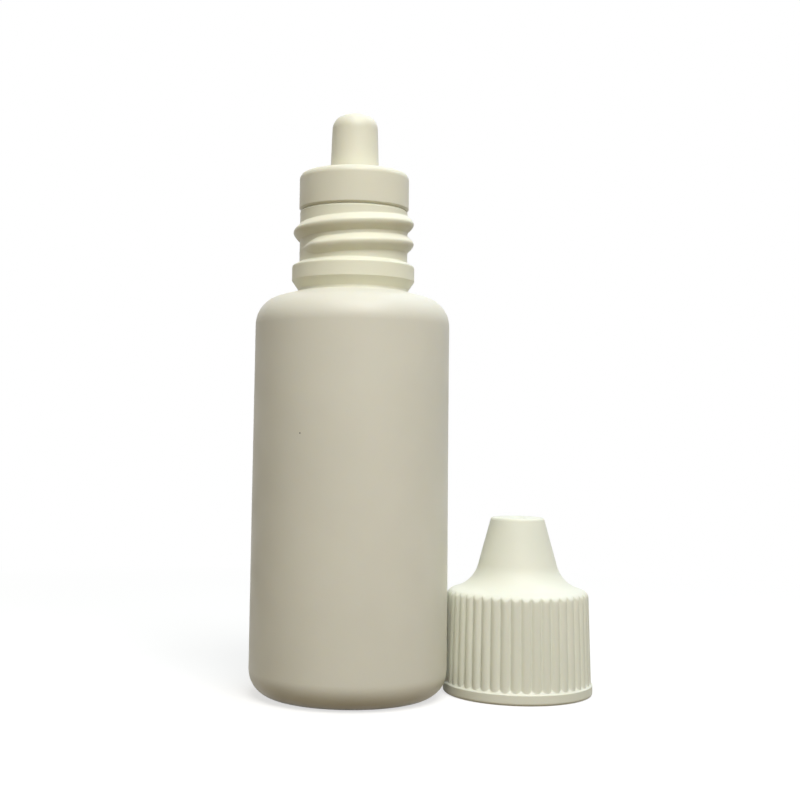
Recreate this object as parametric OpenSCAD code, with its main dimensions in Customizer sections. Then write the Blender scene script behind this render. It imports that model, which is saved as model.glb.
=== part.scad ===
// Squeeze bottle for eye drops: a bottle, a dropper plug pushed into its neck, and the screw cap
// standing beside it. Millimetres. The bottle's axis is Z and it stands on Z = 0.

/* [Body of the bottle] */
// Outer diameter of the body
body_d = 24; // [21:0.5:40]
// Height of the body, from the surface it stands on to the foot of the neck
body_h = 49; // [35:0.5:80]
// Thickness of the body's wall and floor
body_wall = 1; // [0.7:0.1:1.6]
// Radius of the shoulder's rounded corner
shoulder_r = 3.6; // [2:0.1:5]
// Slope of the shoulder up to the neck, in degrees
shoulder_slope = 16; // [5:1:30]
// Radius of the base's rounded corner
base_r = 3.1; // [1.8:0.1:4.5]
// Width of the flat ring that the bottle stands on
standing_ring_w = 1.4; // [0.8:0.1:2.5]
// Depth of the hollow inside the standing ring
recess_depth = 1.2; // [0.6:0.1:2]
// Width of the slope around that hollow
recess_slope_w = 2.5; // [1.5:0.1:4]

/* [Neck] */
// Outer diameter of the plain neck
neck_d = 13.4; // [12.4:0.1:14.6]
// Diameter of the neck's bore
bore_d = 10.4; // [8.6:0.1:11.2]
// Length of the neck from the bead to the lip
neck_len = 6.55; // [5.5:0.05:10]
// Diameter over the neck's screw thread, which the cap's bore clears
thread_d = 15; // [14.4:0.1:17]
// Bevel at the outer and inner edge of the lip
lip_bevel = 0.2; // [0.1:0.05:0.4]

/* [Retention bead] */
// Diameter of the bead
bead_d = 15.2; // [14.8:0.1:17]
// Height of the bead's straight band
bead_band_h = 1.85; // [1:0.05:3]
// Height of the ramp above the band
bead_ramp_h = 0.45; // [0.3:0.05:1]
// Height of the bevel below the band
bead_bevel_h = 1.1; // [0.6:0.05:1.6]
// Inward reach of the bevel below the band
bead_bevel_w = 0.5; // [0.2:0.05:0.8]
// Height of the plain foot between the shoulder and that bevel
neck_foot_h = 0.3; // [0.1:0.05:1]

/* [Dropper plug] */
// Diameter of the collar that stands on the lip
collar_d = 13.7; // [13:0.1:14.6]
// Height of the collar
collar_h = 4.75; // [3:0.05:7]
// Radius of the collar's upper edge
collar_edge_r = 0.9; // [0.3:0.1:1.4]
// Bevel of the collar's lower edge
collar_bevel = 0.25; // [0.1:0.05:0.5]
// Wall of the hollow inside the collar's top
collar_roof = 1.2; // [0.8:0.1:2]
// Depth that the plug's skirt reaches into the neck
plug_len = 8; // [6:0.1:9.5]
// Thickness of the plug's skirt
plug_wall = 0.95; // [0.7:0.05:1.2]
// Running clearance between the sealing ribs and the bore, on the radius
plug_clearance = 0.05; // [0.02:0.01:0.1]
// Height that each sealing rib stands proud of the skirt
seal_rib_proud = 0.12; // [0.05:0.01:0.25]
// Width of each sealing rib
seal_rib_w = 0.9; // [0.6:0.1:1.4]
// Distance between the two sealing ribs, middle to middle
seal_rib_pitch = 2.6; // [2:0.1:3.2]

/* [Nozzle] */
// Height of the nozzle above the collar
nozzle_h = 7.5; // [5:0.1:11]
// Diameter of the nozzle at the collar
nozzle_root_d = 6.2; // [5.6:0.1:7.4]
// Diameter that the nozzle would have at its tip without the rounding
nozzle_tip_d = 5.76; // [5:0.02:6]
// Radius of the rounded tip
nozzle_tip_r = 1.65; // [0.8:0.05:1.7]
// Thickness of the nozzle's wall
nozzle_wall = 1; // [0.7:0.1:1.3]
// Diameter of the drop hole
drop_hole_d = 0.6; // [0.4:0.1:1]
// Diameter of the dish around the drop hole
dish_d = 2.2; // [1.6:0.1:2.4]
// Depth of that dish
dish_depth = 1.2; // [0.8:0.1:1.6]
// Thickness of the web that the drop hole goes through
drop_web = 0.8; // [0.5:0.1:1.5]

/* [Cap] */
// Gap left above the bead when the cap is screwed home
cap_rim_gap = 0.2; // [0.1:0.05:0.6]
// Gap between the collar's top and the cap's inner roof when screwed home
cap_roof_gap = 0.15; // [0.05:0.05:0.5]
// Gap between the nozzle's tip and the end of the cap's cone when screwed home
cap_tip_gap = 1.2; // [0.8:0.1:2]
// Clearance around the thread in the cap's bore, on the radius
cap_bore_gap = 0.15; // [0.1:0.05:0.4]
// Clearance around the nozzle in the cap's cone, on the radius
cap_nozzle_gap = 0.55; // [0.3:0.05:1]
// Skirt wall at the foot, between the bore and the valleys of the reeding
skirt_wall = 1.07; // [0.9:0.01:2]
// Draft of the skirt, in degrees
skirt_draft = 1.55; // [0:0.05:1.6]
// Thickness of the cap's roof at the bore
roof_wall = 1.17; // [0.9:0.01:2]
// Slope of the cap's shoulder, in degrees
cap_shoulder_slope = 22; // [10:1:30]
// Radius of the skirt's upper corner
skirt_corner_r = 1.4; // [0.6:0.1:2]
// Radius of the hollow curve between shoulder and cone
cone_fillet_r = 3.2; // [1:0.1:4]
// Draft of the cone, in degrees
cone_draft = 15.8; // [10:0.1:20]
// Thickness of the cone's wall
cone_wall = 1.1; // [0.8:0.1:1.6]
// Thickness of the cone's flat end
cone_end_wall = 1.6; // [1:0.1:2.5]
// Radius of the cone's upper edge
cone_edge_r = 0.4; // [0.2:0.1:0.8]
// Depth that the sealing pip reaches into the nozzle's dish
pip_reach = 0.5; // [0.2:0.1:0.7]
// Diameter of the sealing pip's end
pip_d = 1; // [0.8:0.1:1.2]

/* [Reeding and foot of the cap] */
// Number of ribs around the skirt
rib_count = 48; // [36:1:60]
// Height of a rib's crest above the valleys
rib_depth = 0.39; // [0.25:0.01:0.5]
// Height of the smooth ring at the cap's foot
ring_h = 1.25; // [0.8:0.05:2.5]
// Distance that the ring stands proud of the ribs
ring_proud = 0.08; // [0.04:0.01:0.4]
// Rounding of the ring's lower edge
ring_edge_r = 0.35; // [0.1:0.05:0.5]
// Lead-in bevel of the cap's bore
bore_bevel = 0.4; // [0.2:0.05:0.6]

/* [Where the cap stands] */
// Gap between the cap's base ring and the body, when the cap is lifted past it
cap_stand_gap = 0.04; // [0.04:0.01:10]
// Bearing of the cap from the bottle, from +X towards +Y, in degrees
cap_bearing = 8.3; // [-60:0.1:60]

/* [Hidden] */
$fn = 96;
arc_steps = 10;

// Bottle and neck, from the base up
body_r = body_d / 2;
bore_r = bore_d / 2;
neck_r = neck_d / 2;
bead_r = bead_d / 2;
neck_foot_r = bead_r - bead_bevel_w;
recess_r = body_r - base_r - standing_ring_w;
recess_angle = atan(recess_depth / recess_slope_w);
bead_bevel_z = body_h + neck_foot_h;
bead_band_z = bead_bevel_z + bead_bevel_h;
bead_ramp_z = bead_band_z + bead_band_h;
bead_top_z = bead_ramp_z + bead_ramp_h;
lip_z = bead_top_z + neck_len;

// Dropper plug
collar_r = collar_d / 2;
collar_top_z = lip_z + collar_h;
nozzle_tip_z = collar_top_z + nozzle_h;
seal_r = bore_r - plug_clearance;
skirt_r = seal_r - seal_rib_proud;
plug_bore_r = skirt_r - plug_wall;
plug_end_z = lip_z - plug_len;

// Cap, in its own heights above its foot. The cap's foot lies at closed_z when it is screwed home.
closed_z = bead_top_z + cap_rim_gap;
cap_bore_r = thread_d / 2 + cap_bore_gap;
roof_z = collar_top_z + cap_roof_gap - closed_z;
tip_in_cap_z = nozzle_tip_z - closed_z;
cone_hollow_z = tip_in_cap_z + cap_tip_gap;
cap_h = cone_hollow_z + cone_end_wall;
valley_foot_r = cap_bore_r + skirt_wall;
crest_foot_r = valley_foot_r + rib_depth;
draft_step = (roof_z - ring_h) * tan(skirt_draft);
valley_top_r = valley_foot_r - draft_step;
crest_top_r = crest_foot_r - draft_step;
ring_r = crest_foot_r + ring_proud;
stand_distance = body_r + ring_r + cap_stand_gap;
cap_corner_z = roof_z + roof_wall - (crest_top_r - cap_bore_r) * tan(cap_shoulder_slope);
cap_x = stand_distance * cos(cap_bearing);
cap_y = stand_distance * sin(cap_bearing);

// Small overlaps that let one form run into the next
rib_root = 0.1;
trim = 0.03;
cut = 1;

function unit(v) = v / norm(v);

// Turn from angle a to angle b the short way round
function short_turn(a, b) = (b - a) - 360 * round((b - a) / 360);

// Longest stretch from corner b towards a that its rounding may use, shared by their two radii
function share(a, b) = b[2] == 0 ? 0 : 0.98 * norm([a.x - b.x, a.y - b.y]) * b[2] / (a[2] + b[2]);

// Arc that rounds corner b between its neighbours a and c, each given as [radius, height, rounding]
function rounded_corner(a, b, c) =
    let (
        at = [b.x, b.y],
        u = unit([a.x, a.y] - at),
        v = unit([c.x, c.y] - at),
        half = acos(u * v) / 2,
        reach = min(b[2] / tan(half), share(a, b), share(c, b)),
        r = reach * tan(half),
        centre = at + unit(u + v) * r / sin(half),
        first = at + u * reach - centre,
        last = at + v * reach - centre,
        a0 = atan2(first.y, first.x),
        turn = short_turn(a0, atan2(last.y, last.x))
    )
    [for (i = [0:arc_steps]) centre + r * [cos(a0 + turn * i / arc_steps), sin(a0 + turn * i / arc_steps)]];

// Closed outline through corners [radius, height, rounding], rounded where the third value isn't 0
function outline(path) =
    let (n = len(path))
    [
        for (i = [0:n - 1])
            each path[i][2] == 0
                ? [[path[i].x, path[i].y]]
                : rounded_corner(path[(i + n - 1) % n], path[i], path[(i + 1) % n])
    ];

// Height of the outer shoulder of the bottle at radius r, and of its inner face
function shoulder_z(r) = body_h - (r - neck_foot_r) * tan(shoulder_slope);
function inner_shoulder_z(r) = shoulder_z(r) - body_wall / cos(shoulder_slope);

// Radius of the cap's cone hollow at height z, and of its outer face
function cone_hollow_r(z) =
    nozzle_tip_d / 2 + cap_nozzle_gap + (tip_in_cap_z - nozzle_tip_r - z) * tan(cone_draft);
function cone_r(z) = cone_hollow_r(z) + cone_wall / cos(cone_draft);

// Height of the cap's shoulder at radius r
function cap_shoulder_z(r) = cap_corner_z + (crest_top_r - r) * tan(cap_shoulder_slope);

// Corner where the cap's shoulder line meets its cone line
cone_root_z = (cap_shoulder_z(cone_r(0))) / (1 - tan(cone_draft) * tan(cap_shoulder_slope));
cone_root_r = cone_r(cone_root_z);

// Axis radius of a rib whose crest and valleys lie at the given radii
function rib_axis_r(crest, valley) =
    (crest * crest - valley * valley) / (2 * (crest - valley * cos(180 / rib_count)));

module bottle() {
    floor_shift = body_wall * tan(recess_angle / 2);
    color([0.80, 0.77, 0.67])
        rotate_extrude()
            polygon(outline([
                [0, recess_depth, 0],
                [recess_r - recess_slope_w, recess_depth, 2],
                [recess_r, 0, 0.4],
                [body_r, 0, base_r],
                [body_r, shoulder_z(body_r), shoulder_r],
                [neck_foot_r, body_h, 0.25],
                [neck_foot_r, bead_bevel_z, 0],
                [bead_r, bead_band_z, 0.12],
                [bead_r, bead_ramp_z, 0.35],
                [neck_r, bead_top_z, 0.15],
                [neck_r, lip_z - lip_bevel, 0],
                [neck_r - lip_bevel, lip_z, 0],
                [bore_r + lip_bevel, lip_z, 0],
                [bore_r, lip_z - lip_bevel, 0],
                [bore_r, inner_shoulder_z(bore_r), 0],
                [body_r - body_wall, inner_shoulder_z(body_r - body_wall), shoulder_r - body_wall],
                [body_r - body_wall, body_wall, base_r - body_wall],
                [recess_r + floor_shift, body_wall, 0.4],
                [recess_r - recess_slope_w + floor_shift, recess_depth + body_wall, 2],
                [0, recess_depth + body_wall, 0]
            ]));
}

// Corners of one sealing rib around the skirt at height z, read upwards
function seal_rib(z) = [
    [skirt_r, z - seal_rib_w / 2, 0],
    [seal_r, z - seal_rib_w / 4, 0],
    [seal_r, z + seal_rib_w / 4, 0],
    [skirt_r, z + seal_rib_w / 2, 0]
];

module dropper_plug() {
    upper_seal_z = lip_z - lip_bevel - seal_rib_w;
    dish_z = nozzle_tip_z - dish_depth;
    web_z = dish_z - drop_web;
    channel_root_r = nozzle_root_d / 2 - nozzle_wall;
    channel_tip_r = nozzle_tip_d / 2 - nozzle_tip_r + 0.2;
    roof_in_z = collar_top_z - collar_roof;
    color([0.87, 0.85, 0.75])
        rotate_extrude()
            polygon(outline(concat(
                [
                    [plug_bore_r, plug_end_z, 0],
                    [skirt_r - plug_wall / 2, plug_end_z, 0],
                    [skirt_r, plug_end_z + plug_wall, 0]
                ],
                seal_rib(upper_seal_z - seal_rib_pitch),
                seal_rib(upper_seal_z),
                [
                    [skirt_r, lip_z, 0],
                    [collar_r - collar_bevel, lip_z, 0],
                    [collar_r, lip_z + collar_bevel, 0],
                    [collar_r, collar_top_z, collar_edge_r],
                    [nozzle_root_d / 2, collar_top_z, 0.2],
                    [nozzle_tip_d / 2, nozzle_tip_z, nozzle_tip_r],
                    [dish_d / 2, nozzle_tip_z, 0.1],
                    [drop_hole_d / 2, dish_z, 0],
                    [drop_hole_d / 2, web_z, 0],
                    [channel_tip_r, web_z, 0],
                    [channel_root_r, collar_top_z, 0],
                    [channel_root_r, roof_in_z, 0],
                    [plug_bore_r, roof_in_z - (plug_bore_r - channel_root_r) / 2, 0]
                ]
            )));
}

// Smooth form of the cap, without its reeding: skirt, shoulder, hollow curve and cone
module cap_envelope() {
    rotate_extrude()
        polygon(outline([
            [0, 0, 0],
            [crest_foot_r + trim, 0, 0],
            [crest_foot_r + trim, ring_h, 0],
            [crest_top_r + trim, cap_corner_z, skirt_corner_r],
            [cone_root_r, cone_root_z, cone_fillet_r],
            [cone_r(cap_h), cap_h, cone_edge_r],
            [0, cap_h, 0]
        ]));
}

// One rib: a slim cone leaning inwards with the skirt's draft
module rib() {
    foot_axis_r = rib_axis_r(crest_foot_r, valley_foot_r);
    top_axis_r = rib_axis_r(crest_top_r, valley_top_r);
    rise = roof_z - ring_h;
    lean = atan((foot_axis_r - top_axis_r) / rise);
    foot_r = crest_foot_r - foot_axis_r;
    top_r = crest_top_r - top_axis_r;
    run = rise + cap_shoulder_z(cone_root_r) - roof_z;
    translate([foot_axis_r, 0, ring_h - rib_root])
        rotate([0, -lean, 0])
            cylinder(h = run, r1 = foot_r, r2 = foot_r + (top_r - foot_r) * run / rise, $fn = 24);
}

// Solid heart of the cap, just inside the valleys of the reeding
module cap_core() {
    cylinder(h = ring_h, r = valley_foot_r - rib_root);
    translate([0, 0, ring_h])
        cylinder(h = roof_z - ring_h, r1 = valley_foot_r - rib_root, r2 = valley_top_r - rib_root);
    translate([0, 0, roof_z])
        cylinder(h = cap_h + cut - roof_z, r = valley_top_r - rib_root);
}

module cap_ring() {
    rotate_extrude()
        polygon(outline([[0, 0, 0], [ring_r, 0, ring_edge_r], [ring_r, ring_h, 0.1], [0, ring_h, 0]]));
}

// Hollow of the cap: bore, roof and cone, with the sealing pip left standing in the cone's end
module cap_hollow() {
    pip_end_z = tip_in_cap_z - pip_reach;
    rotate_extrude()
        polygon([
            [0, -cut],
            [cap_bore_r + bore_bevel, -cut],
            [cap_bore_r + bore_bevel, 0],
            [cap_bore_r, bore_bevel],
            [cap_bore_r, roof_z],
            [cone_hollow_r(roof_z), roof_z],
            [cone_hollow_r(cone_hollow_z), cone_hollow_z],
            [pip_d / 2 + (cone_hollow_z - pip_end_z) / 4, cone_hollow_z],
            [pip_d / 2, pip_end_z],
            [0, pip_end_z]
        ]);
}

module screw_cap() {
    color([0.90, 0.91, 0.84])
        translate([cap_x, cap_y, 0])
            difference() {
                union() {
                    cap_ring();
                    intersection() {
                        cap_envelope();
                        union() {
                            cap_core();
                            for (i = [0:rib_count - 1])
                                rotate([0, 0, i * 360 / rib_count]) rib();
                        }
                    }
                }
                cap_hollow();
            }
}

bottle();
dropper_plug();
screw_cap();
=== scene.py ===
"""Looks of the eye drop bottle: its detailed pieces, their finishes, the studio and the camera.

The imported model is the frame. Each piece here is one closed surface that stands exactly where the
solid it replaces stands, and adds what the plain solid leaves out: the neck's thread, the cap's
inner thread, softened edges, the parting line and gate marks. Sizes are millimetres until a mesh
is made.
"""
import logging
import math
from dataclasses import dataclass
from enum import Enum
from typing import Any, Callable, Sequence

import bpy
import numpy as np
from mathutils import Matrix, Vector


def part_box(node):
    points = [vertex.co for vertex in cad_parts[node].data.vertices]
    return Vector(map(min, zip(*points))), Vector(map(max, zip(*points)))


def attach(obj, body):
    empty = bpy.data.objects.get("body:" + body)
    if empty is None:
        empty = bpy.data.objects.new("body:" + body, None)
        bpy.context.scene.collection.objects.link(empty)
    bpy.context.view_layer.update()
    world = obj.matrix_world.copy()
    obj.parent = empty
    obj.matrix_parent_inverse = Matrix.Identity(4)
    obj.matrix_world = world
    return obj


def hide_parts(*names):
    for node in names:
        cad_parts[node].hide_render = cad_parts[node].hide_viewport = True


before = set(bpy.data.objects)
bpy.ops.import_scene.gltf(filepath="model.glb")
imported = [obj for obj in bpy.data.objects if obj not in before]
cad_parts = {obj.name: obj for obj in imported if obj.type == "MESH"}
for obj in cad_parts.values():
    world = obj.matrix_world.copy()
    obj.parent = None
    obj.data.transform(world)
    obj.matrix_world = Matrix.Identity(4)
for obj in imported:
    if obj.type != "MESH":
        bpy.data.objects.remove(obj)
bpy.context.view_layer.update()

LOG = logging.getLogger("eye_drop_bottle")
MM = 0.001
FULL_TURN = 2 * math.pi
PHOTO_SIDE_PX = 800
CHORD_ERROR = 0.004  # mm, the most that an arc's chord may cut inside the arc
SUPPORT = 0.07  # mm, distance of the row that keeps the shading of a flat face flat beside an arc
SUPPORT_SHARE = 0.009  # the most of a leg that this distance may take
ARCS_SHARE = 1 - 2.2 * SUPPORT_SHARE  # the most of a leg that the arcs at its ends may take
ARC_STEPS = (3, 24)  # fewest and most steps of an arc
DRIFT_SPAN = (0.35, 0.65)  # noise values that are stretched over the whole drift of the tone
DULLNESS_SPAN = (0.3, 0.7)  # noise values that are stretched over the whole range of roughness
DULLNESS_SHARE = 0.25  # size of the patches of roughness, as a share of the patches of tone
SPECK_SOFTNESS = 0.3  # share of a speck's radius over which it fades, inwards and outwards
ON_WALL = 0.01  # mm, how far from a wall's radius a point still belongs to the wall
ROUNDING = 1e-6  # mm, heights closer together than this are the same
WHITE = (1.0, 1.0, 1.0, 1.0)
MIX_A, MIX_B, MIXED = 6, 7, 2  # a Mix node's two colour inputs, and its colour output

Array = np.ndarray


# Profiles and surfaces

class Ends(Enum):
    """How a profile that is turned about an axis ends."""

    ON_AXIS = "both ends lie on the axis"
    OPEN = "both ends stay open, to be joined to something else"
    LOOP = "the last point joins the first"


def unit(vectors: Array) -> Array:
    """Vectors of length 1 with the same directions."""
    return vectors / np.linalg.norm(vectors, axis=-1, keepdims=True)


def slope(degrees: float) -> float:
    """Rise over run of a line at an angle given in degrees."""
    return math.tan(math.radians(degrees))


def groups(sizes: Array) -> tuple[Array, Array]:
    """Numbers the members of groups that are laid end to end.

    A member's place is its running number less the sizes of the groups before its own.

    Args:
        sizes: How many members each group has.

    Returns:
        Each member's group, and its place in that group, both counted from 0.
    """
    group = np.repeat(np.arange(len(sizes)), sizes)
    return group, np.arange(sizes.sum()) - np.repeat(np.cumsum(sizes) - sizes, sizes)


def rounded(corners: Sequence[Sequence[float]], loop: bool = False) -> Array:
    """Profile through corners, each rounded by an arc.

    At corner b the unit vectors u and v run to its neighbours a and c, and h is half the angle
    between them. The arc starts at b + u * reach, ends at b + v * reach and has its centre on the
    bisector, at rounding / sin(h) from b, where reach = rounding / tan(h), cut to b's share of
    each leg. Each arc gets as many steps as keep its chords within CHORD_ERROR, and one supporting
    point on each leg.

    Args:
        corners: Rows of radius, height and rounding.
        loop: Whether the last corner joins the first. If not, the end corners stay as they are.

    Returns:
        Array of points, a row of radius and height each.
    """
    given = np.asarray(corners, dtype=float)
    b = given if loop else given[1:-1]
    a = np.roll(given, 1, axis=0) if loop else given[:-2]
    c = np.roll(given, -1, axis=0) if loop else given[2:]
    leg_a = np.linalg.norm(a[:, :2] - b[:, :2], axis=1)
    leg_c = np.linalg.norm(c[:, :2] - b[:, :2], axis=1)
    u, v = unit(a[:, :2] - b[:, :2]), unit(c[:, :2] - b[:, :2])
    half = np.arccos(np.clip((u * v).sum(axis=1), -1, 1)) / 2
    share_a = ARCS_SHARE * leg_a * b[:, 2] / (a[:, 2] + b[:, 2])
    share_c = ARCS_SHARE * leg_c * b[:, 2] / (c[:, 2] + b[:, 2])
    reach = np.minimum(b[:, 2] / np.tan(half), np.minimum(share_a, share_c))
    radius = reach * np.tan(half)
    centre = b[:, :2] + unit(u + v) * (radius / np.sin(half))[:, None]
    first = b[:, :2] + u * reach[:, None] - centre
    last = b[:, :2] + v * reach[:, None] - centre
    start = np.arctan2(first[:, 1], first[:, 0])
    turn = (np.arctan2(last[:, 1], last[:, 0]) - start + math.pi) % FULL_TURN - math.pi
    widest_step = 2 * np.arccos(1 - np.minimum(CHORD_ERROR / radius, 0.5))
    steps = np.clip(np.ceil(np.abs(turn) / widest_step), *ARC_STEPS).astype(int)
    corner, place = groups(steps + 3)
    order = place - 1
    angle = start[corner] + turn[corner] * order / steps[corner]
    arc = centre[corner] + radius[corner, None] * np.stack([np.cos(angle), np.sin(angle)], axis=1)
    lead = b[:, :2] + u * (reach + np.minimum(SUPPORT, SUPPORT_SHARE * leg_a))[:, None]
    tail = b[:, :2] + v * (reach + np.minimum(SUPPORT, SUPPORT_SHARE * leg_c))[:, None]
    points = np.where((order < 0)[:, None], lead[corner], arc)
    points = np.where((order > steps[corner])[:, None], tail[corner], points)
    if loop:
        return points
    return np.concatenate([given[:1, :2], points, given[-1:, :2]])


def refined(points: Array, longest: Callable[[Array, Array], Array], loop: bool = False) -> Array:
    """The same profile with its long stretches divided evenly.

    A stretch of length s becomes ceil(s / longest) equal parts.

    Args:
        points: Rows of radius and height.
        longest: Gives the longest part wanted at arrays of radius and height.
        loop: Whether the last point joins the first.

    Returns:
        Array of points, a row of radius and height each.
    """
    following = np.roll(points, -1, axis=0)
    start, stop = (points, following) if loop else (points[:-1], following[:-1])
    middle = (start + stop) / 2
    length = np.linalg.norm(stop - start, axis=1)
    parts = np.maximum(np.ceil(length / longest(middle[:, 0], middle[:, 1])), 1).astype(int)
    stretch, order = groups(parts)
    share = (order / parts[stretch])[:, None]
    result = start[stretch] + (stop - start)[stretch] * share
    return result if loop else np.concatenate([result, points[-1:]])


def even_rows(spacing: float) -> Callable[[Array, Array], Array]:
    """For refined: the same longest part, spacing, everywhere."""
    return lambda radius, height: np.full_like(radius, spacing)


def turned_grid(path: Array, columns: int) -> tuple[Array, Array]:
    """Radius and height of a profile's points, each repeated in every column."""
    return np.repeat(path[:, :1], columns, axis=1), np.repeat(path[:, 1:], columns, axis=1)


def ring_points(angle: Array, radius: Array, height: Array) -> Array:
    """Points of a turned grid: x = radius cos(angle), y = radius sin(angle), z = height.

    Args:
        angle: One angle per column, in radians.
        radius: Rows by columns.
        height: Rows by columns.

    Returns:
        Array of rows * columns points.
    """
    x, y = radius * np.cos(angle), radius * np.sin(angle)
    return np.stack([x, y, height], axis=2).reshape(-1, 3)


def grid_faces(rows: int, columns: int, ends: Ends, first: int = 0) -> list[list[int]]:
    """Faces between the rows of a turned grid, pointing outwards where the profile runs upwards.

    Face (i, j) has the corners (i, j), (i, j+1), (i+1, j+1), (i+1, j), where column j+1 wraps
    round. With ends on the axis, one vertex more at each end is joined on by triangles.

    Args:
        rows: Number of rows that are full rings.
        columns: Number of columns.
        ends: How the profile ends.
        first: Index of the grid's first vertex.

    Returns:
        List of faces.
    """
    pole = 1 if ends is Ends.ON_AXIS else 0
    ring = first + pole + np.arange(rows * columns).reshape(rows, columns)
    if ends is Ends.LOOP:
        ring = np.concatenate([ring, ring[:1]])
    beside = np.roll(ring, -1, axis=1)
    quads = np.stack([ring[:-1], beside[:-1], beside[1:], ring[1:]], axis=2).reshape(-1, 4)
    faces = quads.tolist()
    if ends is Ends.ON_AXIS:
        low, high = first, first + 1 + rows * columns
        faces += np.stack([np.full(columns, low), beside[0], ring[0]], axis=1).tolist()
        faces += np.stack([ring[-1], beside[-1], np.full(columns, high)], axis=1).tolist()
    return faces


def smooth_min(a: Array, b: Array, blend: float) -> Array:
    """The smaller of a and b, rounded off over about blend: half of a + b - |a - b|, softened."""
    return (a + b - np.sqrt((a - b) ** 2 + blend ** 2)) / 2


def smooth_max(a: Array, b: Array, blend: float) -> Array:
    """The larger of a and b, rounded off over a width of about blend."""
    return -smooth_min(-a, -b, blend)


def smooth_step(x: Array) -> Array:
    """0 below 0, 1 above 1 and 3x^2 - 2x^3 between."""
    x = np.clip(x, 0, 1)
    return x * x * (3 - 2 * x)


def add_piece(name: str, points: Array, faces: list[list[int]],
              material: bpy.types.Material) -> bpy.types.Object:
    """A shaded piece at the origin, made from points in millimetres.

    Args:
        name: Name of the object and its mesh.
        points: Array of points, in mm.
        faces: Lists of vertex indices.
        material: Finish of the whole piece.

    Returns:
        The new object.
    """
    mesh = bpy.data.meshes.new(name)
    mesh.from_pydata((points * MM).tolist(), [], faces)
    mesh.shade_smooth()
    mesh.materials.append(material)
    piece = bpy.data.objects.new(name, mesh)
    bpy.context.scene.collection.objects.link(piece)
    LOG.info("%s: %d vertices, %d faces", name, len(mesh.vertices), len(mesh.polygons))
    return piece


@dataclass(frozen=True)
class Thread:
    """A screw thread: one ridge that climbs round a neck or a bore, in mm and degrees.

    Its middle lies at height start_z + pitch * angle / 360, from first_deg to last_deg, where the
    angle is counted from +X, anticlockwise seen from above.
    """

    start_z: float
    pitch: float
    depth: float
    first_deg: float
    last_deg: float
    upper_width: float
    lower_width: float
    run_out_deg: float = 34.0
    upper_round: float = 0.3
    lower_round: float = 0.3
    root_round: float = 0.07

    def ridge(self, angle: Array, height: Array) -> Array:
        """How far the ridge stands proud of its root at each place.

        For each whole turn k the distance d from the ridge's middle is height - start_z - pitch *
        (angle / 360 + k). With q = |d| / width of that flank and its rounding c, the flank's share
        is 1 - (sqrt(q^2 + c^2) - c) / (sqrt(1 + c^2) - c): nearly straight up to a rounded crest
        where c is small, and a bulging arc where it is large.
        Towards both ends of the thread the ridge sinks into the neck by 1 - smooth step.

        Args:
            angle: Angle of each place, in radians.
            height: Height of each place.

        Returns:
            Array of heights of the ridge, 0 where there is none.
        """
        turn = np.degrees(angle)[None] + 360.0 * np.arange(-1, 3)[:, None, None]
        distance = height[None] - self.start_z - self.pitch * turn / 360
        above = distance > 0
        share = np.abs(distance) / np.where(above, self.upper_width, self.lower_width)
        c = np.where(above, self.upper_round, self.lower_round)
        flank = 1 - (np.sqrt(share ** 2 + c ** 2) - c) / (np.sqrt(1 + c ** 2) - c)
        sunk = 2 - smooth_step((turn - self.first_deg) / self.run_out_deg)
        sunk = sunk - smooth_step((self.last_deg - turn) / self.run_out_deg)
        proud = np.max(flank - sunk, axis=0)
        return self.depth * smooth_max(proud, np.zeros_like(proud), self.root_round)


# Finishes

def linear(hex_colour: str) -> tuple[float, float, float, float]:
    """Linear colour, with alpha 1, of an sRGB hex value such as E6E0D0."""
    srgb = [int(hex_colour[i:i + 2], 16) / 255 for i in (0, 2, 4)]
    return (*(c / 12.92 if c <= 0.04045 else ((c + 0.055) / 1.055) ** 2.4 for c in srgb), 1.0)


def per_metre(size_mm: float) -> float:
    """Noise scale on Object coordinates, in metres, at which one feature measures size_mm."""
    return 1 / (size_mm * MM)


def add_node(tree: bpy.types.NodeTree, kind: str, inputs: dict[Any, Any] | None = None,
             **settings: Any) -> bpy.types.Node:
    """Adds one node, sets its properties, and fills or links its inputs.

    Args:
        tree: Node tree that gets the node.
        kind: Blender's type name of the node.
        inputs: Value or output socket for each input, by name or number.
        settings: Properties of the node.

    Returns:
        The new node.
    """
    node = tree.nodes.new(kind)
    for name, value in settings.items():
        setattr(node, name, value)
    for key, value in (inputs or {}).items():
        if isinstance(value, bpy.types.NodeSocket):
            tree.links.new(value, node.inputs[key])
        else:
            node.inputs[key].default_value = value
    return node


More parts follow.
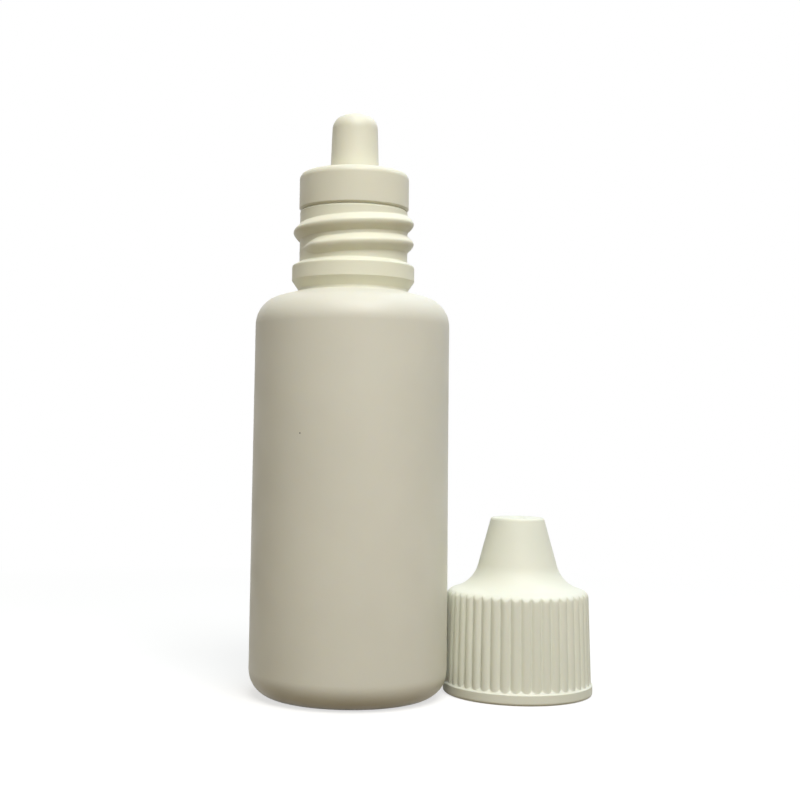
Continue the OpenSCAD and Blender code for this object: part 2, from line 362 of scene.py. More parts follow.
@dataclass(frozen=True)
class MouldedPolyethylene:
    """Satin polyethylene as it leaves the mould: waxy, slightly translucent, with a fine grain.

    The tone drifts by a few percent over about a centimetre, where the melt mixed unevenly. The
    grain is the mould's blasted surface. Real grain is 0.03 to 0.05 mm and wouldn't show, so it is
    drawn at grain_mm. Slow waves of the wall, from cooling, are wave_mm across. Light goes about
    depth_mm deep, and depth_rgb says how far its red, green and blue go next to one another.
    """

    name: str
    colour: str
    drift_colour: str
    drift_mm: float
    smooth_roughness: float
    dull_roughness: float
    grain_mm: float
    grain_depth_mm: float
    wave_mm: float
    wave_depth_mm: float
    depth_mm: float
    depth_weight: float
    ior: float
    depth_rgb: tuple[float, float, float] = (1.0, 0.8, 0.5)
    speck_at: tuple[float, float, float] | None = None
    speck_mm: float = 0.16
    speck_colour: str = "4A4234"
    # Colour of the neck: partly its thicker wall, partly painted light for the brighter light on
    # the neck.
    thick_wall_and_painted_light_colour: str | None = None
    lighter_above_mm: float = 49.1
    lighter_blend_mm: float = 0.8

    def material(self) -> bpy.types.Material:
        """Builds the node material.

        Returns:
            The material.
        """
        made = bpy.data.materials.new(self.name)
        made.use_nodes = True
        tree = made.node_tree
        tree.nodes.clear()
        place = add_node(tree, "ShaderNodeTexCoord").outputs["Object"]
        drift = add_node(tree, "ShaderNodeTexNoise", {
            "Vector": place, "Scale": per_metre(self.drift_mm), "Detail": 3.0, "Roughness": 0.45})
        drifted = add_node(tree, "ShaderNodeMapRange", {
            "Value": drift.outputs[0], "From Min": DRIFT_SPAN[0], "From Max": DRIFT_SPAN[1]})
        tone = add_node(tree, "ShaderNodeMix", {
            "Factor": drifted.outputs[0], MIX_A: linear(self.colour),
            MIX_B: linear(self.drift_colour)}, data_type="RGBA")
        colour = tone.outputs[MIXED]
        # The neck's lighter colour is partly painted light, standing in for brighter light falling
        # on the neck.
        if self.thick_wall_and_painted_light_colour is not None:
            colour = self._with_lighter_neck(tree, place, colour)
        if self.speck_at is not None:
            colour = self._with_speck(tree, place, colour)
        dullness = add_node(tree, "ShaderNodeTexNoise", {
            "Vector": place, "Scale": per_metre(self.drift_mm * DULLNESS_SHARE), "Detail": 4.0})
        roughness = add_node(tree, "ShaderNodeMapRange", {
            "Value": dullness.outputs[0], "From Min": DULLNESS_SPAN[0],
            "From Max": DULLNESS_SPAN[1], "To Min": self.smooth_roughness,
            "To Max": self.dull_roughness})
        wave = add_node(tree, "ShaderNodeTexNoise", {
            "Vector": place, "Scale": per_metre(self.wave_mm), "Detail": 1.0})
        waved = add_node(tree, "ShaderNodeBump", {
            "Height": wave.outputs[0], "Strength": 1.0, "Distance": self.wave_depth_mm * MM})
        grain = add_node(tree, "ShaderNodeTexNoise", {
            "Vector": place, "Scale": per_metre(self.grain_mm), "Detail": 2.0, "Roughness": 0.6})
        grained = add_node(tree, "ShaderNodeBump", {
            "Height": grain.outputs[0], "Strength": 1.0, "Distance": self.grain_depth_mm * MM,
            "Normal": waved.outputs[0]})
        shader = add_node(tree, "ShaderNodeBsdfPrincipled", {
            "Base Color": colour, "Roughness": roughness.outputs[0], "IOR": self.ior,
            "Subsurface Weight": self.depth_weight, "Subsurface Radius": self.depth_rgb,
            "Subsurface Scale": self.depth_mm * MM, "Normal": grained.outputs[0]})
        add_node(tree, "ShaderNodeOutputMaterial", {"Surface": shader.outputs[0]})
        return made

    def _with_lighter_neck(self, tree: bpy.types.NodeTree, place: bpy.types.NodeSocket,
                         colour: bpy.types.NodeSocket) -> bpy.types.NodeSocket:
        """Lightens the neck above lighter_above_mm, partly for its thicker wall and partly as
        painted light.

        Args:
            tree: Node tree of the material.
            place: Object coordinates.
            colour: Colour of the thin wall.

        Returns:
            Colour that turns to thick_wall_and_painted_light_colour over a height of
            lighter_blend_mm.
        """
        height = add_node(tree, "ShaderNodeSeparateXYZ", {0: place}).outputs[2]
        low, high = (self.lighter_above_mm + side * self.lighter_blend_mm / 2 for side in (-1, 1))
        share = add_node(tree, "ShaderNodeMapRange", {
            "Value": height, "From Min": low * MM, "From Max": high * MM})
        mixed = add_node(tree, "ShaderNodeMix", {
            "Factor": share.outputs[0], MIX_A: colour, MIX_B: linear(self.thick_wall_and_painted_light_colour)},
            data_type="RGBA")
        return mixed.outputs[MIXED]

    def _with_speck(self, tree: bpy.types.NodeTree, place: bpy.types.NodeSocket,
                    colour: bpy.types.NodeSocket) -> bpy.types.NodeSocket:
        """Darkens one speck of charred resin, speck_mm across, round the point speck_at.

        Args:
            tree: Node tree of the material.
            place: Object coordinates.
            colour: Colour without the speck.

        Returns:
            Colour with the speck.
        """
        centre = tuple(v * MM for v in self.speck_at)
        away = add_node(tree, "ShaderNodeVectorMath", {0: place, 1: centre}, operation="DISTANCE")
        radius = self.speck_mm * MM / 2
        near, far = radius * (1 - SPECK_SOFTNESS), radius * (1 + SPECK_SOFTNESS)
        mask = add_node(tree, "ShaderNodeMapRange", {
            "Value": away.outputs["Value"], "From Min": near, "From Max": far,
            "To Min": 1.0, "To Max": 0.0})
        mixed = add_node(tree, "ShaderNodeMix", {
            "Factor": mask.outputs[0], MIX_A: colour, MIX_B: linear(self.speck_colour)},
            data_type="RGBA")
        return mixed.outputs[MIXED]


# Low-density polyethylene, blow-moulded: satin and waxy, with a soft roll of the wall in its gloss
# and a neck painted a little lighter, partly for its thicker wall and partly as painted light.
BODY_FINISH = MouldedPolyethylene(
    name="blow_moulded_ldpe", colour="E3E1D4", drift_colour="DEDCCF", drift_mm=14,
    smooth_roughness=0.40, dull_roughness=0.52, grain_mm=0.35, grain_depth_mm=0.006, wave_mm=7,
    wave_depth_mm=0.05, depth_mm=0.6, depth_weight=0.25, ior=1.51, speck_at=(-5.9, -10.45, 31.5),
    # The neck's lighter colour below is partly painted light.
    thick_wall_and_painted_light_colour="EBEAD7")
# Low-density polyethylene, injection-moulded: as waxy as the body, with a truer surface.
PLUG_FINISH = MouldedPolyethylene(
    name="injection_moulded_ldpe", colour="E8E6D4", drift_colour="E4E2D0", drift_mm=9,
    smooth_roughness=0.38, dull_roughness=0.48, grain_mm=0.3, grain_depth_mm=0.004, wave_mm=5,
    wave_depth_mm=0.02, depth_mm=0.6, depth_weight=0.25, ior=1.51)
# High-density polyethylene, injection-moulded: whiter, duller and less translucent.
CAP_FINISH = MouldedPolyethylene(
    name="injection_moulded_hdpe", colour="ECEDDF", drift_colour="E8EADC", drift_mm=10,
    smooth_roughness=0.50, dull_roughness=0.60, grain_mm=0.3, grain_depth_mm=0.004, wave_mm=5,
    wave_depth_mm=0.015, depth_mm=0.4, depth_weight=0.12, ior=1.54)


# Pieces

@dataclass
class Bottle:
    """The squeeze bottle: body, shoulder, bead, threaded neck and hollow inside. Sizes in mm."""

    body_r: float = 12.0
    body_h: float = 49.0
    wall: float = 1.0
    shoulder_round: float = 3.6
    shoulder_slope_deg: float = 15.2
    base_round: float = 3.1
    recess_r: float = 7.5
    recess_depth: float = 1.2
    recess_slope_w: float = 2.5
    foot_r: float = 6.85
    bead_r: float = 7.6
    bead_bevel_z: float = 49.3
    bead_band_z: float = 50.4
    bead_ramp_z: float = 52.25
    bead_top_z: float = 52.7
    neck_r: float = 6.7
    lip_z: float = 59.25
    bore_r: float = 5.2
    lip_bevel: float = 0.2
    gate_r: float = 0.8
    gate_h: float = 0.22
    parting_h: float = 0.05
    parting_w: float = 0.16
    parting_neck_share: float = 0.6  # height of the parting line on the neck, next to parting_h
    parting_fade: float = 1.5  # it starts this far outside the recess, and rises over as much
    parting_stop: float = 0.3  # it stops this far under the lip
    oval_wave: float = 0.012
    oval_length: float = 7.5
    oval_phase: float = 0.9
    lobe_wave: float = 0.008
    lobe_length: float = 6.0
    columns: int = 232
    parting_columns_deg: tuple[float, ...] = (0.35, 0.7, 1.1, 1.6, 2.2)
    parting_clear_deg: float = 2.6  # the even columns keep this far from the parting line
    row: float = 2.4
    thread_row: float = 0.06
    thread_inside: float = 0.3  # a place this far inside the neck or under the bead's top, and
    thread_outside: float = 0.1  # one this far outside the neck, can still carry the thread
    thread: Thread = Thread(
        start_z=55.24, pitch=2.5, depth=0.8, first_deg=-158, last_deg=534, upper_width=0.9,
        lower_width=1.15, upper_round=0.35, lower_round=1.5)

    def shoulder_z(self, radius: float) -> float:
        """Height of the outer shoulder at a radius: it falls by its slope from the neck's foot."""
        return self.body_h - (radius - self.foot_r) * slope(self.shoulder_slope_deg)

    def profile(self) -> Array:
        """Outline from the base's middle up the outside, over the lip and down to the inner floor.

        Returns:
            Array of points, a row of radius and height each.
        """
        inner_drop = self.wall / math.cos(math.radians(self.shoulder_slope_deg))
        floor_shift = self.wall * math.tan(math.atan(self.recess_depth / self.recess_slope_w) / 2)
        inner_r = self.body_r - self.wall
        flat_r = self.recess_r - self.recess_slope_w
        corners = [
            (0, self.recess_depth - self.gate_h, 0),
            (self.gate_r * 0.7, self.recess_depth - self.gate_h, 0.1),
            (self.gate_r, self.recess_depth, 0.12),
            (flat_r, self.recess_depth, 1.6),
            (self.recess_r, 0, 0.4),
            (self.body_r, 0, self.base_round),
            (self.body_r, self.shoulder_z(self.body_r), self.shoulder_round),
            (self.foot_r, self.body_h, 0.2),
            (self.foot_r, self.bead_bevel_z, 0.1),
            (self.bead_r, self.bead_band_z, 0.12),
            (self.bead_r, self.bead_ramp_z, 0.3),
            (self.neck_r, self.bead_top_z, 0.15),
            (self.neck_r, self.lip_z - self.lip_bevel, 0.08),
            (self.neck_r - self.lip_bevel, self.lip_z, 0.08),
            (self.bore_r + self.lip_bevel, self.lip_z, 0.08),
            (self.bore_r, self.lip_z - self.lip_bevel, 0.08),
            (self.bore_r, self.shoulder_z(self.bore_r) - inner_drop, 0.2),
            (inner_r, self.shoulder_z(inner_r) - inner_drop, self.shoulder_round - self.wall),
            (inner_r, self.wall, self.base_round - self.wall),
            (self.recess_r + floor_shift, self.wall, 0.4),
            (flat_r + floor_shift, self.recess_depth + self.wall, 1.6),
            (0, self.recess_depth + self.wall, 0),
        ]

        def longest(radius: Array, height: Array) -> Array:
            """Rows are thread_row apart under the thread and row elsewhere."""
            on_thread = (np.abs(radius - self.neck_r) < ON_WALL) & (height > self.bead_top_z)
            return np.where(on_thread, self.thread_row, self.row)

        return refined(rounded(corners), longest)

    def angles(self) -> Array:
        """Column angles: even, and closer together at the parting line, at 0 and 180 degrees.

        Returns:
            Array of angles, in radians, sorted.
        """
        beside = np.radians(self.parting_columns_deg)
        near = np.concatenate([-beside[::-1], [0.0], beside])
        even = np.arange(self.columns) * FULL_TURN / self.columns
        even = even[np.abs(np.sin(even)) > math.sin(math.radians(self.parting_clear_deg))]
        return np.sort(np.concatenate([near % FULL_TURN, near + math.pi, even]))

    def build(self) -> bpy.types.Object:
        """Makes the bottle's mesh.

        On the outside the radius is the profile's, plus the thread's ridge on the neck, plus the
        parting line's fin, parting_h * exp(-(s / parting_w)^2) where s is the distance from the
        parting plane, plus slow waves on the body: oval_wave * sin(2 angle + oval_phase) *
        sin(height / oval_length) and lobe_wave * sin(3 angle + height / lobe_length).

        Returns:
            The piece.
        """
        path = self.profile()
        angle = self.angles()
        rows = path[1:-1]
        lip = int(np.argmax(rows[:, 1] >= self.lip_z - ROUNDING))
        outside = (np.arange(len(rows)) <= lip)[:, None]
        radius, height = turned_grid(rows, len(angle))
        turned = np.broadcast_to(angle, radius.shape)
        on_neck = (outside & (height > self.bead_top_z - self.thread_inside)
                   & (radius > self.neck_r - self.thread_inside)
                   & (radius < self.neck_r + self.thread_outside))
        ridge = np.where(on_neck, self.thread.ridge(turned, height), 0)
        from_recess = radius - self.recess_r - self.parting_fade
        wall_share = smooth_step(from_recess / self.parting_fade) * outside
        neck_share = self.parting_neck_share * outside * (height < self.lip_z - self.parting_stop)
        fin = self.parting_h * np.exp(-(radius * np.sin(turned) / self.parting_w) ** 2)
        fin = fin * np.where(height > self.bead_bevel_z, neck_share, wall_share)
        wave = (self.oval_wave * np.sin(2 * turned + self.oval_phase)
                * np.sin(height / self.oval_length))
        wave = wave + self.lobe_wave * np.sin(3 * turned + height / self.lobe_length)
        wave = wave * (outside & (radius > self.body_r - self.shoulder_round / 2))
        points = ring_points(angle, radius + ridge + fin + wave, height)
        points = np.concatenate([[[0, 0, path[0, 1]]], points, [[0, 0, path[-1, 1]]]])
        faces = grid_faces(len(rows), len(angle), Ends.ON_AXIS)
        piece = add_piece("squeeze_bottle", points, faces, BODY_FINISH.material())
        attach(piece, "bottle")
        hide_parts("bottle")
        return piece


@dataclass
class DropperPlug:
    """The dropper plug: skirt with two sealing ribs, collar, nozzle and drop hole. Sizes in mm."""

    lip_z: float = 59.25
    collar_r: float = 6.85
    collar_top_z: float = 64.0
    collar_edge: float = 0.85
    collar_bevel: float = 0.25
    collar_roof: float = 1.2
    nozzle_root_r: float = 3.05
    nozzle_tip_r: float = 2.8
    nozzle_tip_z: float = 71.5
    tip_round: float = 1.95
    nozzle_wall: float = 1.0
    channel_widening: float = 0.2  # the channel's tip is wider by this than the tip's flat end
    dish_r: float = 0.85
    dish_depth: float = 1.2
    drop_hole_r: float = 0.3
    web: float = 0.8
    seal_r: float = 5.15
    skirt_r: float = 5.03
    skirt_wall: float = 0.95
    seal_w: float = 0.9
    seal_below_lip: float = 0.2
    seal_pitch: float = 2.6
    end_z: float = 51.25
    columns: int = 192
    row: float = 1.5

    def seal(self, middle_z: float) -> list[tuple[float, float, float]]:
        """Corners of one sealing rib, whose foot is seal_w wide and whose crest half as wide.

        Args:
            middle_z: Height of the rib's middle.

        Returns:
            Rows of radius, height and rounding, read upwards.
        """
        foot, crest = self.seal_w / 2, self.seal_w / 4
        return [(self.skirt_r, middle_z - foot, 0.1), (self.seal_r, middle_z - crest, 0.1),
                (self.seal_r, middle_z + crest, 0.1), (self.skirt_r, middle_z + foot, 0.1)]

    def profile(self) -> Array:
        """Closed outline from the skirt's end, up the outside, over the tip and down the channel.

        Returns:
            Array of points, a row of radius and height each.
        """
        upper_seal_z = self.lip_z - self.seal_below_lip - self.seal_w
        dish_z = self.nozzle_tip_z - self.dish_depth
        bore_r = self.skirt_r - self.skirt_wall
        channel_root_r = self.nozzle_root_r - self.nozzle_wall
        channel_tip_r = self.nozzle_tip_r - self.tip_round + self.channel_widening
        roof_z = self.collar_top_z - self.collar_roof
        corners = [
            (bore_r, self.end_z, 0.1),
            (self.skirt_r - self.skirt_wall / 2, self.end_z, 0.1),
            (self.skirt_r, self.end_z + self.skirt_wall, 0.3),
            *self.seal(upper_seal_z - self.seal_pitch),
            *self.seal(upper_seal_z),
            (self.skirt_r, self.lip_z, 0.1),
            (self.collar_r - self.collar_bevel, self.lip_z, 0.05),
            (self.collar_r, self.lip_z + self.collar_bevel, 0.12),
            (self.collar_r, self.collar_top_z, self.collar_edge),
            (self.nozzle_root_r, self.collar_top_z, 0.3),
            (self.nozzle_tip_r, self.nozzle_tip_z, self.tip_round),
            (self.dish_r, self.nozzle_tip_z, 0.12),
            (self.drop_hole_r, dish_z, 0.1),
            (self.drop_hole_r, dish_z - self.web, 0.05),
            (channel_tip_r, dish_z - self.web, 0.1),
            (channel_root_r, self.collar_top_z, 0.3),
            (channel_root_r, roof_z, 0.2),
            (bore_r, roof_z - (bore_r - channel_root_r) / 2, 0.3),
        ]
        return refined(rounded(corners, loop=True), even_rows(self.row), loop=True)

    def build(self) -> bpy.types.Object:
        """Makes the plug's mesh, the closed outline turned about the bottle's axis.

        Returns:
            The piece.
        """
        path = self.profile()
        angle = np.arange(self.columns) * FULL_TURN / self.columns
        points = ring_points(angle, *turned_grid(path, self.columns))
        faces = grid_faces(len(path), self.columns, Ends.LOOP)
        piece = add_piece("dropper_insert", points, faces, PLUG_FINISH.material())
        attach(piece, "dropper_plug")
        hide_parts("dropper_plug")
        return piece


@dataclass
class ScrewCap:
    """The reeded cap: foot ring, ribs, shoulder, hollow cone, threaded bore and sealing pip.

    Sizes in mm, heights above the cap's foot.
    """

    bore_r: float = 7.65
    bore_bevel: float = 0.4
    skirt_wall: float = 1.01
    draft_deg: float = 1.55
    roof_z: float = 11.25
    roof_wall: float = 1.45
    shoulder_slope_deg: float = 17.0
    corner_round: float = 1.3
    ribs: int = 44
    rib_depth: float = 0.39
    ring_proud: float = 0.14
    ring_h: float = 1.25
    ring_edge: float = 0.35
    ledge_run: float = 1.0
    cone_draft_deg: float = 15.3
    cone_wall: float = 1.1
    cone_fillet: float = 4.0
    cone_edge: float = 0.4
    cap_h: float = 21.4
    nozzle_room_r: float = 3.35
    nozzle_room_z: float = 16.95
    cone_hollow_z: float = 19.8
    pip_r: float = 0.5
    pip_end_z: float = 18.1
    gate_r: float = 0.7
    gate_depth: float = 0.12
    envelope_out: tuple[float, float] = (0.01, 0.03)  # beyond the crests, at the ring and the top
    ledge_blend: float = 0.01  # width over which the ledge and the ribs are blended
    cut_blend: float = 0.06  # width over which the ribs and the envelope are blended
    reeded_from_r: float = 7.9  # all of the skirt lies outside this radius
    foot_seam: tuple[float, float] = (0.75, 1.0)  # ends of outside and inside, in from the ring
    columns_per_rib: int = 12
    inner_share: int = 4
    row: float = 0.8
    ledge_row: float = 0.05
    ledge_span: float = 0.65
    run_out_row: float = 0.12
    run_out_span: float = 0.9
    inner_row: float = 1.6
    inner_thread_row: float = 0.1
    inner_thread_top_z: float = 8.6
    thread: Thread = Thread(
        start_z=2.2, pitch=2.55, depth=0.6, first_deg=20, last_deg=590, upper_width=0.7,
        lower_width=0.7)

    @property
    def ring_r(self) -> float:
        """Radius of the foot ring, which stands proud of the ribs' feet."""
        return self.crest_r(self.ring_h) + self.ring_proud

    def axis(self) -> Array:
        """Where the cap stands: the middle of the box of the solid that it replaces."""
        low, high = np.array(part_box("screw_cap"))
        return (low + high) / 2 / MM * (1, 1, 0)

    def valley_r(self, height: float | Array) -> float | Array:
        """Radius of the valleys between ribs: bore and wall, less the draft above the ring."""
        return self.bore_r + self.skirt_wall - (height - self.ring_h) * slope(self.draft_deg)

    def crest_r(self, height: float | Array) -> float | Array:
        """Radius over the ribs' crests."""
        return self.valley_r(height) + self.rib_depth

    def shoulder_z(self, radius: float) -> float:
        """Height of the sloping shoulder at a radius: roof_wall above the roof over the bore."""
        fall = (radius - self.bore_r) * slope(self.shoulder_slope_deg)
        return self.roof_z + self.roof_wall - fall

    def cone_hollow_r(self, height: float) -> float:
        """Radius of the cone's hollow, which widens downwards by the draft's tangent."""
        return self.nozzle_room_r + (self.nozzle_room_z - height) * slope(self.cone_draft_deg)

    def cone_r(self, height: float) -> float:
        """Outer radius of the cone, parallel to its hollow."""
        level_wall = self.cone_wall / math.cos(math.radians(self.cone_draft_deg))
        return self.cone_hollow_r(height) + level_wall

    def outer_profile(self) -> Array:
        """Smooth envelope of the outside, from the foot up over the crests to the cone's end.

        Returns:
            Array of points, a row of radius and height each.
        """
        out_foot, out_top = self.envelope_out
        crest_foot_r, crest_top_r = self.crest_r(self.ring_h) + out_foot, self.crest_r(self.roof_z)
        both_slopes = slope(self.cone_draft_deg) * slope(self.shoulder_slope_deg)
        root_z = self.shoulder_z(self.cone_r(0)) / (1 - both_slopes)
        corners = [
            (self.ring_r - self.foot_seam[0], 0, 0),
            (self.ring_r, 0, self.ring_edge),
            (self.ring_r, self.ring_h, 0.08),
            (crest_foot_r, self.ring_h + (self.ring_r - crest_foot_r) / self.ledge_run, 0.05),
            (crest_top_r + out_top, self.shoulder_z(crest_top_r), self.corner_round),
            (self.cone_r(root_z), root_z, self.cone_fillet),
            (self.cone_r(self.cap_h), self.cap_h, self.cone_edge),
            (self.gate_r * 1.6, self.cap_h, 0.12),
            (self.gate_r * 1.3, self.cap_h - self.gate_depth, 0.12),
            (self.gate_r * 0.6, self.cap_h - self.gate_depth, 0.08),
            (self.gate_r * 0.5, self.cap_h - self.gate_depth * 0.3, 0.08),
            (0, self.cap_h - self.gate_depth * 0.3, 0),
        ]

        def longest(radius: Array, height: Array) -> Array:
            """Rows are closest on the ledge and where the ribs run out at the shoulder.

            Args:
                radius: Radius of each stretch's middle.
                height: Height of each stretch's middle.

            Returns:
                Array of the longest part wanted.
            """
            over_ring = height - self.ring_h
            on_ledge = (over_ring > -self.ledge_row) & (over_ring < self.ledge_span)
            run_out = (radius > self.reeded_from_r) & (height > self.roof_z - self.run_out_span)
            wanted = np.where(on_ledge, self.ledge_row, self.row)
            return np.where(run_out, self.run_out_row, wanted)

        return refined(refined(rounded(corners), even_rows(self.row)), longest)

    def inner_profile(self) -> Array:
        """Outline of the inside, from the pip's end down through cone, roof and bore to the foot.

        Returns:
            Array of points, a row of radius and height each.
        """
        corners = [
            (0, self.pip_end_z, 0),
            (self.pip_r, self.pip_end_z, 0.12),
            (self.pip_r + (self.cone_hollow_z - self.pip_end_z) / 4, self.cone_hollow_z, 0.15),
            (self.cone_hollow_r(self.cone_hollow_z), self.cone_hollow_z, 0.3),
            (self.cone_hollow_r(self.roof_z), self.roof_z, 0.2),
            (self.bore_r, self.roof_z, 0.3),
            (self.bore_r, self.bore_bevel, 0.1),
            (self.bore_r + self.bore_bevel, 0, 0.05),
            (self.ring_r - self.foot_seam[1], 0, 0),
        ]

        def longest(radius: Array, height: Array) -> Array:
            """Rows are inner_thread_row apart under the thread and inner_row elsewhere."""
            on_thread = (radius > self.bore_r - ON_WALL) & (height < self.inner_thread_top_z)
            return np.where(on_thread, self.inner_thread_row, self.inner_row)

        return refined(rounded(corners), longest)

    def reeded(self, angle: Array, radius: Array, height: Array) -> Array:
        """Outer radius with the reeding.

        A rib is a round rod whose axis stands a from the cap's axis, so its surface lies at
        a cos(p) + sqrt(rod^2 - a^2 sin(p)^2) at an angle p from its crest. a is chosen so that two
        neighbours meet at the valley's radius: a = (crest^2 - valley^2) / (2 (crest - valley
        cos(180 / ribs))). Crest and valley lean in with the draft. The ledge above the foot ring
        runs up into the valleys, and the smooth envelope cuts the ribs off at the shoulder.

        Args:
            angle: Angle of each column, in radians.
            radius: Radius of the envelope at each place, rows by columns.
            height: Height of each place.

        Returns:
            Array of radii.
        """
        crest, valley = self.crest_r(height), self.valley_r(height)
        pitch = FULL_TURN / self.ribs
        away = (angle + pitch / 2) % pitch - pitch / 2
        rod_axis = (crest ** 2 - valley ** 2) / (2 * (crest - valley * math.cos(pitch / 2)))
        rod = crest - rod_axis
        half_chord = np.sqrt(np.maximum(rod ** 2 - (rod_axis * np.sin(away)) ** 2, 0))
        rib = rod_axis * np.cos(away) + half_chord
        ledge = self.ring_r - (height - self.ring_h) * self.ledge_run
        cut = smooth_min(smooth_max(rib, ledge, self.ledge_blend), radius, self.cut_blend)
        on_skirt = (height > self.ring_h - 2 * ON_WALL) & (radius > self.reeded_from_r)
        return np.where(on_skirt, cut, radius)

    def build(self) -> bpy.types.Object:
        """Makes the cap's mesh.

        The outside has columns_per_rib columns on each rib. The inside has one column for every
        inner_share of them, and the flat foot joins the two with faces of inner_share + 3 corners.

        Returns:
            The piece.
        """
        columns = self.ribs * self.columns_per_rib
        fewer = columns // self.inner_share
        outer, inner = self.outer_profile(), self.inner_profile()
        angle = np.arange(columns) * FULL_TURN / columns
        sparse = angle[::self.inner_share]
        out_r, out_z = turned_grid(outer[:-1], columns)
        out_r = self.reeded(angle, out_r, out_z)
        in_r, in_z = turned_grid(inner[1:], fewer)
        ridge = self.thread.ridge(np.broadcast_to(sparse, in_r.shape), in_z)
        in_r = in_r - np.where(np.abs(in_r - self.bore_r) < ON_WALL, ridge, 0)
        points = np.concatenate([[[0, 0, inner[0, 1]]], ring_points(sparse, in_r, in_z),
                                 ring_points(angle, out_r, out_z), [[0, 0, outer[-1, 1]]]])
        inner_rings = 1 + np.arange(in_r.size).reshape(in_r.shape)
        start = 1 + in_r.size
        pip, foot = inner_rings[0], inner_rings[-1]
        faces = grid_faces(len(in_r), fewer, Ends.OPEN, first=1)
        faces += np.stack([np.zeros(fewer, int), np.roll(pip, -1), pip], axis=1).tolist()
        faces += grid_faces(len(out_r), columns, Ends.OPEN, first=start)
        last_ring = start + out_r.size - columns + np.arange(columns)
        top = np.full(columns, len(points) - 1)
        faces += np.stack([last_ring, np.roll(last_ring, -1), top], axis=1).tolist()
        backwards = np.arange(self.inner_share, -1, -1)
        outer_foot = start + (np.arange(fewer)[:, None] * self.inner_share + backwards) % columns
        faces += np.column_stack([foot, np.roll(foot, -1), outer_foot]).tolist()
        piece = add_piece("reeded_cap", points + self.axis(), faces, CAP_FINISH.material())
        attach(piece, "cap")
        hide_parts("screw_cap")
        return piece


# Studio

@dataclass
class Camera:
    """The photograph's camera, solved from the outlines of the body, the collar and the cap."""

    focal_px: float = 1304.6
    place_mm: tuple[float, float, float] = (0.0, -161.74, 31.25)
    yaw_deg: float = 0.330
    pitch_deg: float = 5.081
    roll_deg: float = 0.783
    centre_px: tuple[float, float] = (360.0, 320.0)
    sensor_mm: float = 36.0

    def build(self) -> None:
        """Makes the camera and sets it as the scene's."""
        yaw, pitch, roll = (math.radians(v) for v in (self.yaw_deg, self.pitch_deg, self.roll_deg))
        forward = Vector((math.sin(yaw) * math.cos(pitch), math.cos(yaw) * math.cos(pitch),
                          math.sin(pitch)))
        level = Vector((math.cos(yaw), -math.sin(yaw), 0))
        upright = level.cross(forward)
        right = level * math.cos(roll) + upright * math.sin(roll)
        up = upright * math.cos(roll) - level * math.sin(roll)
        data = bpy.data.cameras.new("photo_camera")
        data.sensor_fit = "HORIZONTAL"
        data.sensor_width = self.sensor_mm
        data.lens = self.focal_px * self.sensor_mm / PHOTO_SIDE_PX
        data.shift_x = 0.5 - self.centre_px[0] / PHOTO_SIDE_PX
        data.shift_y = self.centre_px[1] / PHOTO_SIDE_PX - 0.5
        data.clip_start = 0.01
        camera = bpy.data.objects.new("photo_camera", data)
        turn = Matrix((right, up, -forward)).transposed().to_4x4()
        camera.matrix_world = Matrix.Translation(Vector(self.place_mm) * MM) @ turn
        bpy.context.scene.collection.objects.link(camera)
        bpy.context.scene.camera = camera


@dataclass(frozen=True)
class SoftBox:
    """A square area light that looks at a point of the object. Places in metres."""

    name: str
    place: tuple[float, float, float]
    side: float
    watts: float
    colour: str
    target: tuple[float, float, float] = (0.008, 0.0, 0.03)

    def build(self) -> None:
        """Makes the light."""
        data = bpy.data.lights.new(self.name, "AREA")
        data.shape = "SQUARE"
        data.size = self.side
        data.energy = self.watts
        data.color = linear(self.colour)[:3]
        light = bpy.data.objects.new(self.name, data)
        light.location = self.place
        aim = Vector(self.target) - Vector(self.place)
        light.rotation_euler = aim.to_track_quat("-Z", "Y").to_euler()
        bpy.context.scene.collection.objects.link(light)


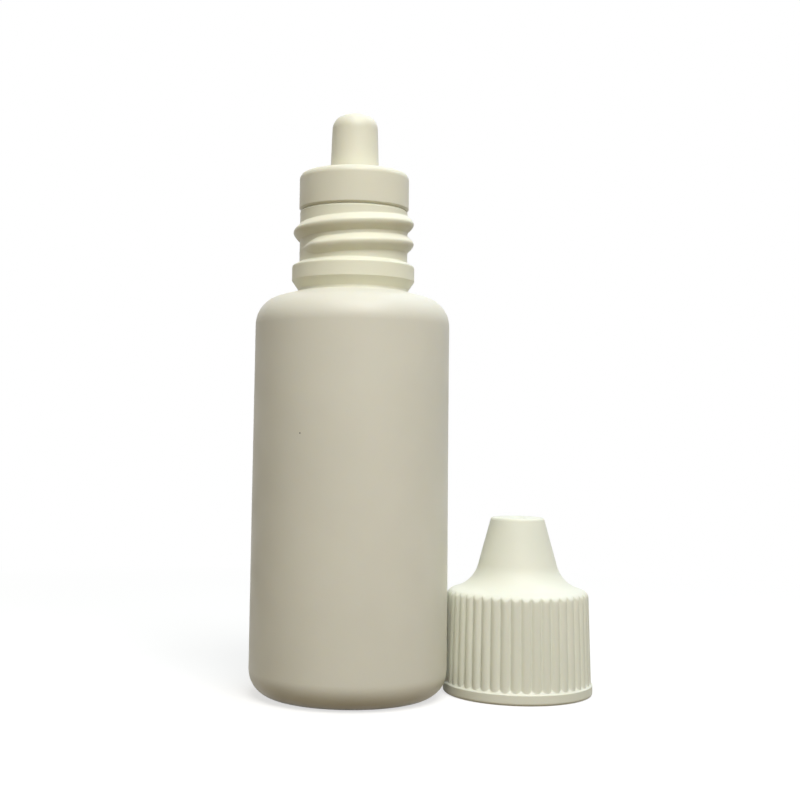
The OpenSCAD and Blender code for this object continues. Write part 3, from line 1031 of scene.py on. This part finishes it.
@dataclass
class Studio:
    """Pale floor, white background, and soft even light.

    The main light hangs above the camera, a weak cool one high behind on the right, and a pale
    ambient light comes from all round. shadow_grey is what the floor's shadow can take away from
    what the camera sees of the floor, and shadow_lift is what it leaves. Lengths are metres.
    """

    floor_side: float = 2.4
    floor_colour: str = "7A6B50"
    shadow_grey: float = 0.42
    shadow_lift: float = 0.66
    ambient_colour: str = "FFF9E2"
    ambient: float = 0.3
    shadow_reach: float = 0.16
    lights: tuple[SoftBox, ...] = (
        SoftBox("key_above_front", (0.057, -0.229, 0.341), 0.234, 1.35, "FFFFFF"),
        SoftBox("sky_behind_right", (0.2, 0.16, 0.5), 0.4, 0.7, "C4E2FF"),
    )

    def build(self) -> None:
        """Makes the world, the floor and the lights."""
        self._world()
        self._floor()
        for light in self.lights:
            light.build()
        bpy.context.scene.view_settings.view_transform = "Standard"

    def _seen_directly(self, tree: bpy.types.NodeTree) -> bpy.types.NodeSocket:
        """1 for camera, glossy and transmission rays, which should meet white, and 0 for others.

        Args:
            tree: Node tree that gets the nodes.

        Returns:
            Output socket.
        """
        path = add_node(tree, "ShaderNodeLightPath").outputs
        seen = path["Is Camera Ray"]
        for ray in ("Is Glossy Ray", "Is Transmission Ray"):
            larger = add_node(tree, "ShaderNodeMath", {0: seen, 1: path[ray]}, operation="MAXIMUM")
            seen = larger.outputs[0]
        return seen

    def _world(self) -> None:
        """White where the camera looks past the object, and a pale even light on the object."""
        world = bpy.data.worlds.new("studio_world")
        world.use_nodes = True
        bpy.context.scene.world = world
        tree = world.node_tree
        tree.nodes.clear()
        ambient = add_node(tree, "ShaderNodeBackground", {
            "Color": linear(self.ambient_colour), "Strength": self.ambient})
        white = add_node(tree, "ShaderNodeBackground", {"Color": WHITE, "Strength": 1.0})
        mixed = add_node(tree, "ShaderNodeMixShader", {
            0: self._seen_directly(tree), 1: ambient.outputs[0], 2: white.outputs[0]})
        add_node(tree, "ShaderNodeOutputWorld", {0: mixed.outputs[0]})

    def _floor(self) -> None:
        """Matt floor: white with a soft shadow to the camera, and card to the light on the object.

        The card is a warm mid tone, so that what it throws up onto the object stays low.
        """
        material = bpy.data.materials.new("pale_card")
        material.use_nodes = True
        tree = material.node_tree
        tree.nodes.clear()
        card = add_node(tree, "ShaderNodeBsdfDiffuse", {"Color": linear(self.floor_colour)})
        shaded = add_node(tree, "ShaderNodeBsdfDiffuse", {
            "Color": (self.shadow_grey, self.shadow_grey, self.shadow_grey, 1.0)})
        lift = add_node(tree, "ShaderNodeEmission", {"Color": WHITE, "Strength": self.shadow_lift})
        near = add_node(tree, "ShaderNodeAddShader", {0: shaded.outputs[0], 1: lift.outputs[0]})
        white = add_node(tree, "ShaderNodeEmission", {"Color": WHITE, "Strength": 1.0})
        place = add_node(tree, "ShaderNodeTexCoord").outputs["Object"]
        away = add_node(tree, "ShaderNodeVectorMath", {0: place}, operation="LENGTH")
        far = add_node(tree, "ShaderNodeMapRange", {
            "Value": away.outputs["Value"], "From Min": self.shadow_reach / 2,
            "From Max": self.shadow_reach})
        seen = add_node(tree, "ShaderNodeMixShader", {
            0: far.outputs[0], 1: near.outputs[0], 2: white.outputs[0]})
        mixed = add_node(tree, "ShaderNodeMixShader", {
            0: self._seen_directly(tree), 1: card.outputs[0], 2: seen.outputs[0]})
        add_node(tree, "ShaderNodeOutputMaterial", {"Surface": mixed.outputs[0]})
        half = self.floor_side / 2
        corners = [(-half, -half, 0), (half, -half, 0), (half, half, 0), (-half, half, 0)]
        mesh = bpy.data.meshes.new("floor")
        mesh.from_pydata(corners, [], [(0, 1, 2, 3)])
        mesh.materials.append(material)
        floor = bpy.data.objects.new("floor", mesh)
        bpy.context.scene.collection.objects.link(floor)


def main() -> None:
    """Builds the camera, the studio and the three pieces, and reports each piece."""
    logging.basicConfig(level=logging.INFO, format="%(message)s")
    Camera().build()
    Studio().build()
    for assembly in (Bottle(), DropperPlug(), ScrewCap()):
        piece = assembly.build()
        LOG.info("%s is made", piece.name)


if __name__ == "__main__":
    main()
